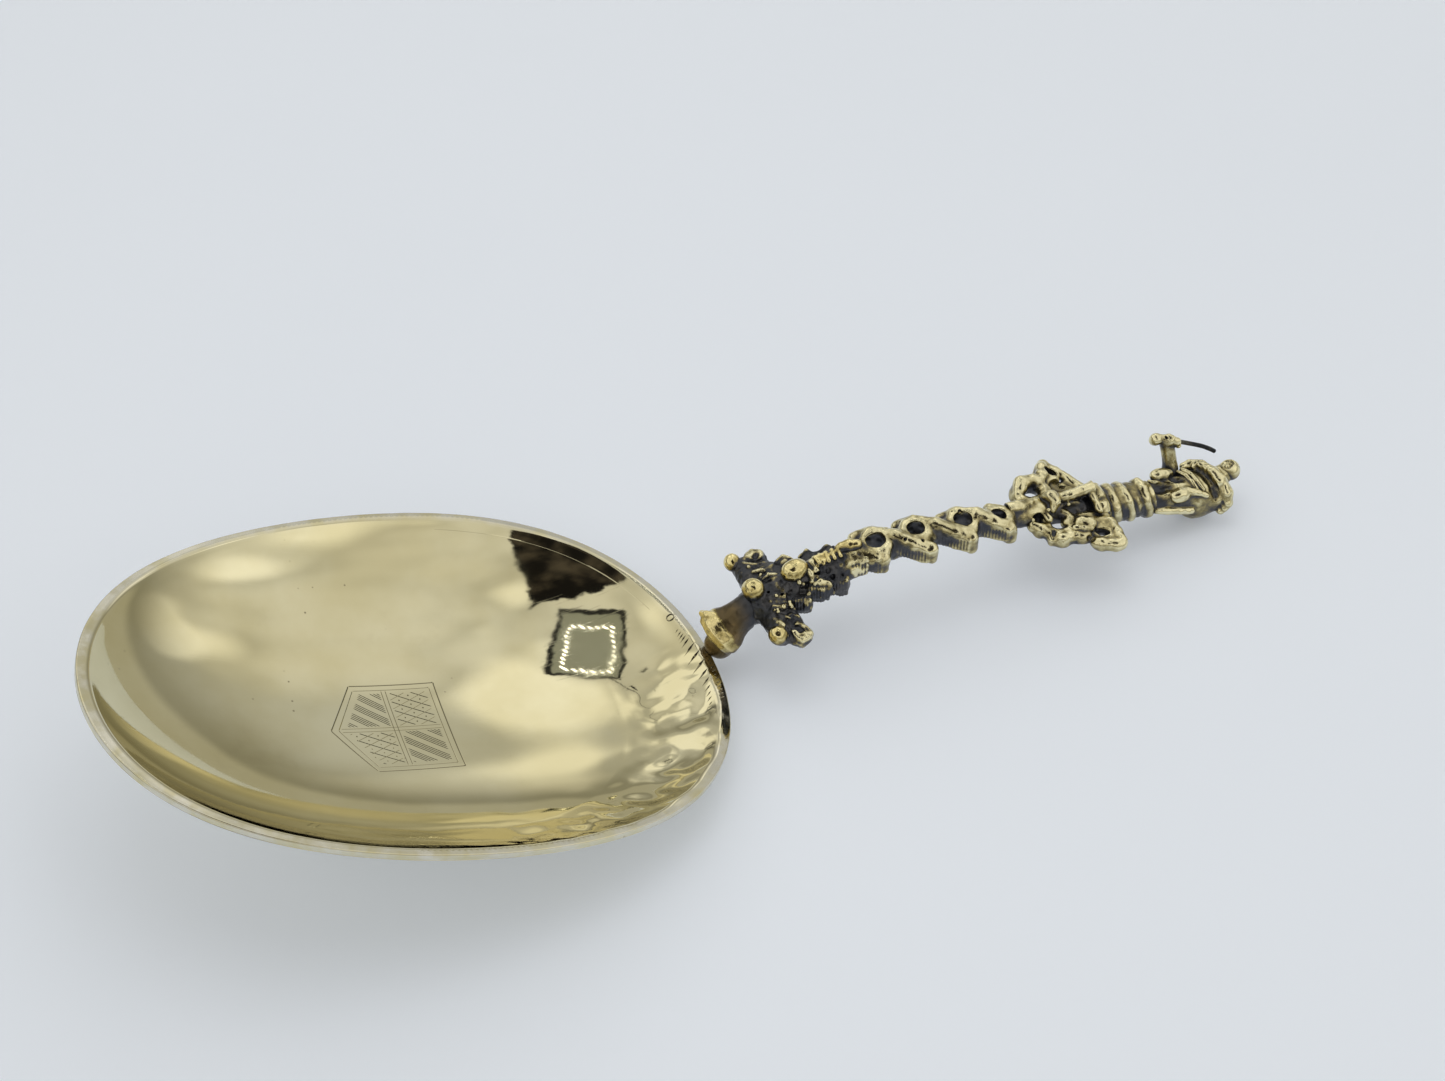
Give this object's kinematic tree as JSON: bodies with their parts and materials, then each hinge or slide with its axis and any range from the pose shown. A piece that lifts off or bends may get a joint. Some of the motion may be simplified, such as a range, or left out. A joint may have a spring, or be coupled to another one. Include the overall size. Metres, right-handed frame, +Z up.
{
  "type": "souvenir spoon",
  "caption": "Decorative presentation spoon with an egg-shaped hammered bowl and a cast figural stem with an openwork knop and a pierced twist.",
  "frame": {"origin": "on the surface that the spoon lies on, under the middle of its outline", "axes": "+X from the bowl to the figure, +Z up"},
  "size_m": [0.1572, 0.0596, 0.0291],
  "materials": {
    "bowl_gilt": "polished pale gilding, hand hammered, with fine scratches",
    "cast_gilt": "cast and gilt, worn bright on the high points and blackened in the recesses",
    "cast_dark": "cast, blackened, rubbed bright on a few crests",
    "bright_gilt": "rubbed bright gilding",
    "dark_wire": "oxidised drawn wire"
  },
  "bodies": {
    "root": {"bowl": "bowl_gilt", "stem_root": "cast_gilt", "knob_boss": "cast_dark", "boss_beads": "bright_gilt", "ribbed_section": "cast_dark", "ladder_strap": "bright_gilt", "pierced_twist": "cast_gilt", "knop_core": "cast_dark", "scroll_wing_far": "cast_gilt", "scroll_wing_near": "cast_gilt", "gadrooned_vase": "cast_gilt", "neck_rings": "bright_gilt", "figure_body": "cast_gilt", "figure_head": "cast_gilt", "raised_arm": "cast_gilt", "staff_wire": "dark_wire"}
  },
  "joints": []
}
